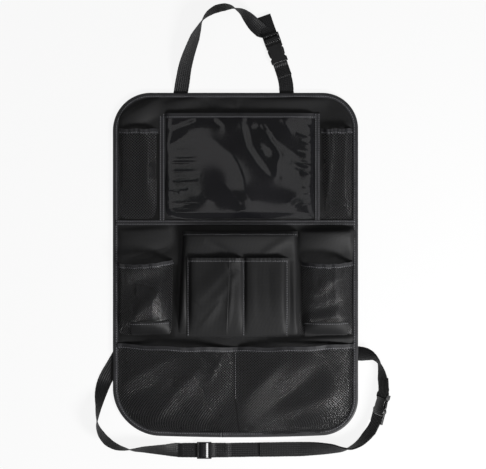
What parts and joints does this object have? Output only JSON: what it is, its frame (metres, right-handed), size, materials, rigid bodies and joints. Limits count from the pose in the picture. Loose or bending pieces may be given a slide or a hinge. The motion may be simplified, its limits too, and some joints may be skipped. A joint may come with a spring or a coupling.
{
  "type": "car seat back organizer",
  "caption": "Fabric seat-back organizer with a clear tablet window, mesh and fabric pockets, and buckled headrest and seat straps.",
  "frame": {"origin": "middle of the panel's back face", "axes": "+X to the right seen from the front, +Y towards the headrest strap, +Z out of the pockets; the part lies on its back"},
  "size_m": [0.4931, 0.7624, 0.0324],
  "materials": {
    "fabric": "matt black woven polyester",
    "binding_tape": "matt black woven tape",
    "net_mesh": "black knitted net",
    "clear_film": "clear soft PVC film",
    "elastic": "black braided elastic",
    "webbing": "ribbed black polypropylene webbing",
    "buckle_plastic": "satin black acetal moulding"
  },
  "bodies": {
    "root": {"back_panel": "fabric", "document_pocket": "fabric", "front_pocket": "fabric", "left_bottle_base": "fabric", "right_bottle_base": "fabric", "edge_binding": "binding_tape", "tablet_top_binding": "binding_tape", "tablet_left_binding": "binding_tape", "tablet_right_binding": "binding_tape", "seam_binding": "binding_tape", "upper_left_pocket_hem": "binding_tape", "upper_right_pocket_hem": "binding_tape", "left_bottle_hem": "binding_tape", "right_bottle_hem": "binding_tape", "bottom_pocket_hem": "binding_tape", "upper_left_mesh_pocket": "net_mesh", "upper_right_mesh_pocket": "net_mesh", "left_bottle_mesh": "net_mesh", "right_bottle_mesh": "net_mesh", "bottom_mesh_pocket": "net_mesh", "tablet_window": "clear_film", "upper_left_pocket_elastic": "elastic", "upper_right_pocket_elastic": "elastic", "left_bottle_elastic": "elastic", "right_bottle_elastic": "elastic", "headrest_strap": "webbing", "headrest_strap_stub": "webbing", "seat_strap_left": "webbing", "seat_strap_right": "webbing", "seat_strap_stub": "webbing", "headrest_buckle_clip": "buckle_plastic", "headrest_buckle_housing": "buckle_plastic", "seat_buckle_clip": "buckle_plastic", "seat_buckle_housing": "buckle_plastic", "strap_slider": "buckle_plastic"}
  },
  "joints": []
}
